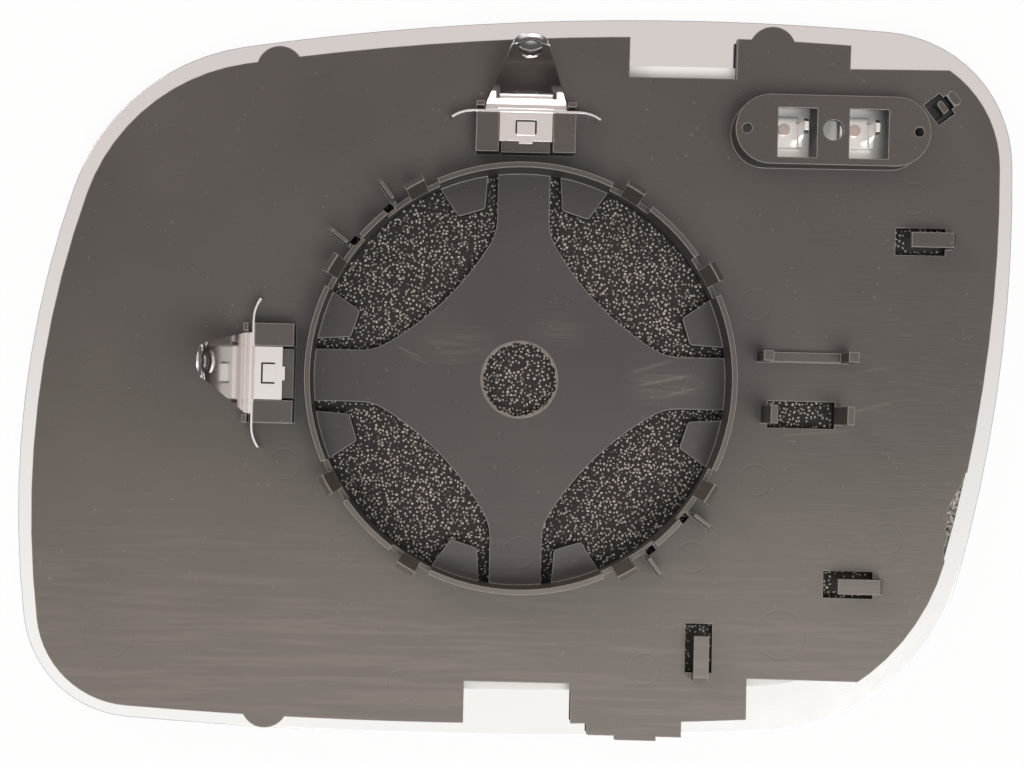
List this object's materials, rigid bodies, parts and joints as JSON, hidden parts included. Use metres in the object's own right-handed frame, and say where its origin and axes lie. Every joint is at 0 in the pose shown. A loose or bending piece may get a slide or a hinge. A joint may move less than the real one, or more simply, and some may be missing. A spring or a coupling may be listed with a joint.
{
  "type": "car door mirror glass",
  "caption": "Heated convex door mirror glass with a backing plate, a snap ring for the actuator, spring clips and a connector housing.",
  "frame": {"origin": "on the axis of the snap ring and the hub hole, level with the back of the backing plate", "axes": "+X to the right and +Y up as one looks at the back; +Z away from the glass"},
  "size_m": [0.1881, 0.1378, 0.024],
  "materials": {
    "mirror_glass": "convex glass, silvered on its back face",
    "heater_film": "pale satin film",
    "foam": "black adhesive foam with a sparkling grain",
    "black_plastic": "matt black moulding with fine scuffs",
    "spring_steel": "bright rolled sheet",
    "tinned_brass": "bright tin plate",
    "copper": "pinkish satin rivet"
  },
  "bodies": {
    "root": {"mirror_glass": "mirror_glass", "heater_film": "heater_film", "foam_pad": "foam", "backing_plate": "black_plastic", "spring_clip_top": "spring_steel", "spring_clip_side": "spring_steel", "terminal_left": "tinned_brass", "terminal_right": "tinned_brass", "terminal_rivets": "copper"}
  },
  "joints": []
}
